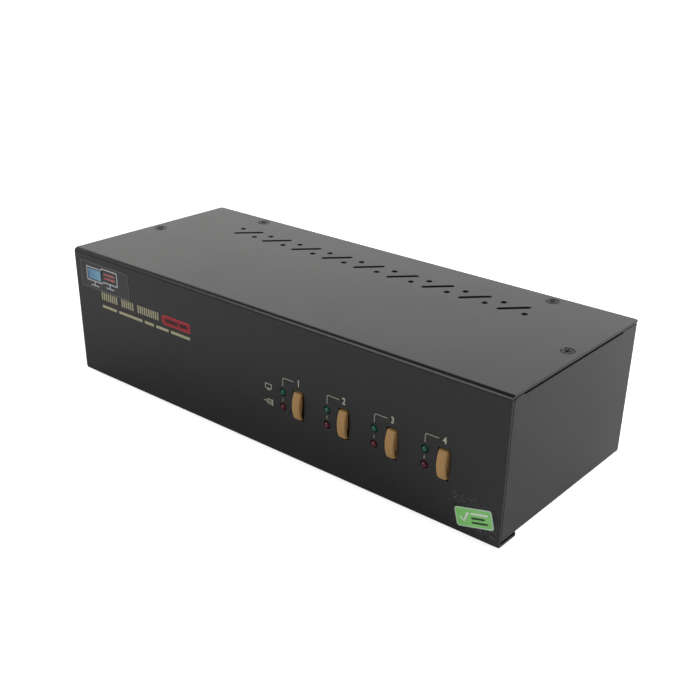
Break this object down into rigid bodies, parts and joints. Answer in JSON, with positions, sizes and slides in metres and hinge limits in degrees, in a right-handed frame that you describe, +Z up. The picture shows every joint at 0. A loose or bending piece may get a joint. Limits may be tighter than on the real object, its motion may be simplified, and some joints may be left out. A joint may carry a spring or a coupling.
{
  "type": "kvm switch",
  "caption": "Desktop box that switches a keyboard, a mouse, two screens and sound between computers, with a push button and status lights for each computer.",
  "frame": {"origin": "on the surface that the feet stand on, below the middle of the whole object's box", "axes": "+X to the right of someone facing the buttons, +Y from the front to the sockets at the back, +Z up"},
  "size_m": [0.272, 0.1134, 0.0728],
  "materials": {
    "case_paint": "fine textured black powder coat, semi-matt",
    "black_screw": "black oxide, slightly glossy",
    "foot_rubber": "moulded matt black rubber",
    "button_plastic": "satin tan moulded plastic",
    "green_lens": "clear tinted green, unlit",
    "red_lens": "clear tinted red, unlit",
    "switch_plastic": "black moulded plastic",
    "plunger_plastic": "off-white moulded plastic",
    "circuit_board": "green solder mask on glass laminate",
    "plated_steel": "bright tin or nickel plate",
    "socket_plastic": "moulded plastic housing"
  },
  "bodies": {
    "case": {"audio_1": "socket_plastic", "audio_2": "socket_plastic", "audio_3": "socket_plastic", "audio_4": "socket_plastic", "audio_5": "socket_plastic", "board_spacer_1": "plated_steel", "board_spacer_2": "plated_steel", "board_spacer_3": "plated_steel", "board_spacer_4": "plated_steel", "chassis": "case_paint", "computer_led_1": "green_lens", "computer_led_2": "green_lens", "computer_led_3": "green_lens", "computer_led_4": "green_lens", "cover_screw_1": "black_screw", "cover_screw_2": "black_screw", "cover_screw_3": "black_screw", "cover_screw_4": "black_screw", "dvi_lower_1": "socket_plastic", "dvi_lower_2": "socket_plastic", "dvi_lower_3": "socket_plastic", "dvi_lower_4": "socket_plastic", "dvi_lower_5": "socket_plastic", "dvi_upper_1": "socket_plastic", "dvi_upper_2": "socket_plastic", "dvi_upper_3": "socket_plastic", "dvi_upper_4": "socket_plastic", "dvi_upper_5": "socket_plastic", "front_board": "circuit_board", "hub_led_1": "red_lens", "hub_led_2": "red_lens", "hub_led_3": "red_lens", "hub_led_4": "red_lens", "key_switch_1": "switch_plastic", "key_switch_2": "switch_plastic", "key_switch_3": "switch_plastic", "key_switch_4": "switch_plastic", "main_board": "circuit_board", "power_jack": "socket_plastic", "rear_panel": "case_paint", "rubber_foot_1": "foot_rubber", "rubber_foot_2": "foot_rubber", "rubber_foot_3": "foot_rubber", "rubber_foot_4": "foot_rubber", "top_front_cover": "case_paint", "usb_a_hub": "plated_steel", "usb_a_keys": "plated_steel", "usb_b_1": "plated_steel", "usb_b_2": "plated_steel", "usb_b_3": "plated_steel", "usb_b_4": "plated_steel", "video_board": "circuit_board"},
    "channel_1": {"channel_button_1": "button_plastic", "key_plunger_1": "plunger_plastic"},
    "channel_2": {"channel_button_2": "button_plastic", "key_plunger_2": "plunger_plastic"},
    "channel_3": {"channel_button_3": "button_plastic", "key_plunger_3": "plunger_plastic"},
    "channel_4": {"channel_button_4": "button_plastic", "key_plunger_4": "plunger_plastic"}
  },
  "joints": [
    {"name": "button_1_press", "type": "slide", "parent": "case", "child": "channel_1", "axis": [0, 1, 0], "range_m": [0, 0.001], "stiffness_N_per_m": 1500},
    {"name": "button_2_press", "type": "slide", "parent": "case", "child": "channel_2", "axis": [0, 1, 0], "range_m": [0, 0.001], "stiffness_N_per_m": 1500},
    {"name": "button_3_press", "type": "slide", "parent": "case", "child": "channel_3", "axis": [0, 1, 0], "range_m": [0, 0.001], "stiffness_N_per_m": 1500},
    {"name": "button_4_press", "type": "slide", "parent": "case", "child": "channel_4", "axis": [0, 1, 0], "range_m": [0, 0.001], "stiffness_N_per_m": 1500}
  ]
}
